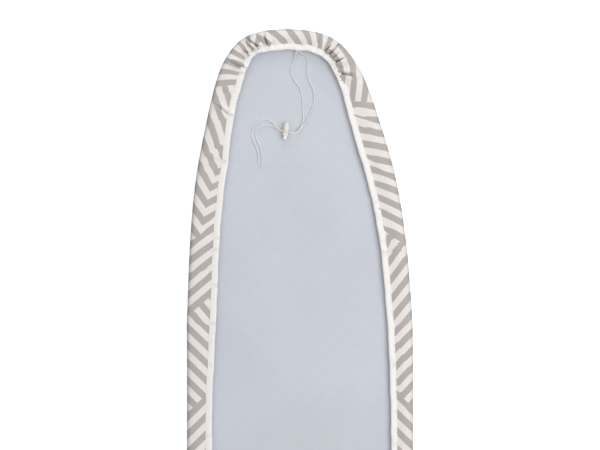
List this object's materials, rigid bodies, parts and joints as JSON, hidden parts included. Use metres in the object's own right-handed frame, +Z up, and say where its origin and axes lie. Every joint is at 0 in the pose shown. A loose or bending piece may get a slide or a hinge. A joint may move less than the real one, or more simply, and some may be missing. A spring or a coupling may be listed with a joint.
{
  "type": "padded ironing board cover with drawstring",
  "caption": "Padded ironing-board cover lying face down, with a bound skirt gathered by a drawstring and a sprung cord lock that slides on its two ends.",
  "frame": {"origin": "middle of the cover's outer box, on the surface it lies on", "axes": "+Y towards the nose, +Z up from the printed face through the pad, +X to the right with the nose up the page"},
  "size_m": [0.3902, 1.25, 0.016],
  "materials": {
    "cover_cloth": "woven cotton, printed with grey and white mitred stripes",
    "pad_foam": "thin pale blue foam with a fine needled surface",
    "binding_tape": "white folded binding tape, stitched along its outer edge",
    "drawstring_cord": "thin white braided cord",
    "lock_plastic": "cream moulded plastic, slightly glossy",
    "button_plastic": "white moulded plastic, slightly glossy",
    "spring_steel": "plain steel spring wire"
  },
  "bodies": {
    "cover": {"cover_face": "cover_cloth", "pad": "pad_foam", "skirt_rim_nose": "cover_cloth", "skirt_rim_shoulder_left": "cover_cloth", "skirt_rim_side_left": "cover_cloth", "skirt_rim_tail": "cover_cloth", "skirt_rim_side_right": "cover_cloth", "skirt_rim_shoulder_right": "cover_cloth", "skirt_flap_nose": "cover_cloth", "skirt_flap_shoulder_left": "cover_cloth", "skirt_flap_side_left": "cover_cloth", "skirt_flap_tail": "cover_cloth", "skirt_flap_side_right": "cover_cloth", "skirt_flap_shoulder_right": "cover_cloth", "binding_nose_left": "binding_tape", "binding_left": "binding_tape", "binding_tail": "binding_tape", "binding_right": "binding_tape", "binding_join_right": "binding_tape", "binding_nose_right": "binding_tape", "drawstring_run": "drawstring_cord", "drawstring_end_outer": "drawstring_cord", "drawstring_end_inner": "drawstring_cord"},
    "cord_lock": {"cord_lock_body": "lock_plastic", "cord_lock_spring": "spring_steel"},
    "lock_button": {"cord_lock_button": "button_plastic"}
  },
  "joints": [
    {"name": "lock_slide", "type": "slide", "parent": "cover", "child": "cord_lock", "axis": [0.9877, -0.1564, 0], "range_m": [-0.003, 0.01]},
    {"name": "button_press", "type": "slide", "parent": "cord_lock", "child": "lock_button", "axis": [0.1564, 0.9877, 0], "range_m": [0, 0.0022], "stiffness_N_per_m": 300, "springref_m": -0.004, "deforming": ["cord_lock_spring"]}
  ]
}
